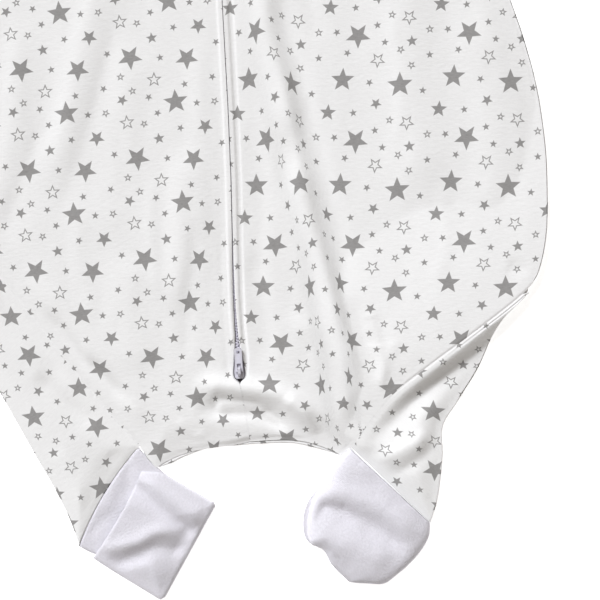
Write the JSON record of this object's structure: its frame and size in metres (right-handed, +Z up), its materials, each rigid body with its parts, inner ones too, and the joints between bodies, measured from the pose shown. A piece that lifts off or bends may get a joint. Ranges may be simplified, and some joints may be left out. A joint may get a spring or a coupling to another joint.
{
  "type": "footed sleeping bag",
  "caption": "Sleeveless baby sleeping bag with short legs, fold-over foot covers and a centre front zip, lying flat on its back.",
  "frame": {"origin": "on the centre front line at half the garment's length, on the underside of the back panel, which is the surface it lies on", "axes": "+X to the right seen from above, +Y towards the neck, +Z up, out of the front"},
  "size_m": [0.4584, 0.7241, 0.0138],
  "materials": {
    "print_jersey": "white jersey with grey stars",
    "rib_knit": "white knit",
    "zip_tape": "woven tape",
    "zip_coil": "satin",
    "zip_metal": "satin paint"
  },
  "bodies": {
    "garment": {"back_panel": "print_jersey", "front_left": "print_jersey", "front_right": "print_jersey", "leg_panel_left": "print_jersey", "leg_panel_right": "print_jersey", "cuff_left": "rib_knit", "cuff_right": "rib_knit", "foot_cover_left": "rib_knit", "foot_cover_right": "rib_knit", "neck_band_left": "rib_knit", "neck_band_right": "rib_knit", "neck_band_back": "rib_knit", "armhole_band_left": "rib_knit", "armhole_band_right": "rib_knit", "zip_tape_left": "zip_tape", "zip_tape_right": "zip_tape", "zip_coil": "zip_coil", "zip_slider": "zip_metal"},
    "pull_tab": {"zip_pull": "zip_metal"}
  },
  "joints": [
    {"name": "pull_tab_hinge", "type": "hinge", "parent": "garment", "child": "pull_tab", "pos_m": [-0.00447, -0.1904, 0.008], "axis": [1, 0, 0], "range_deg": [0, 150]}
  ]
}
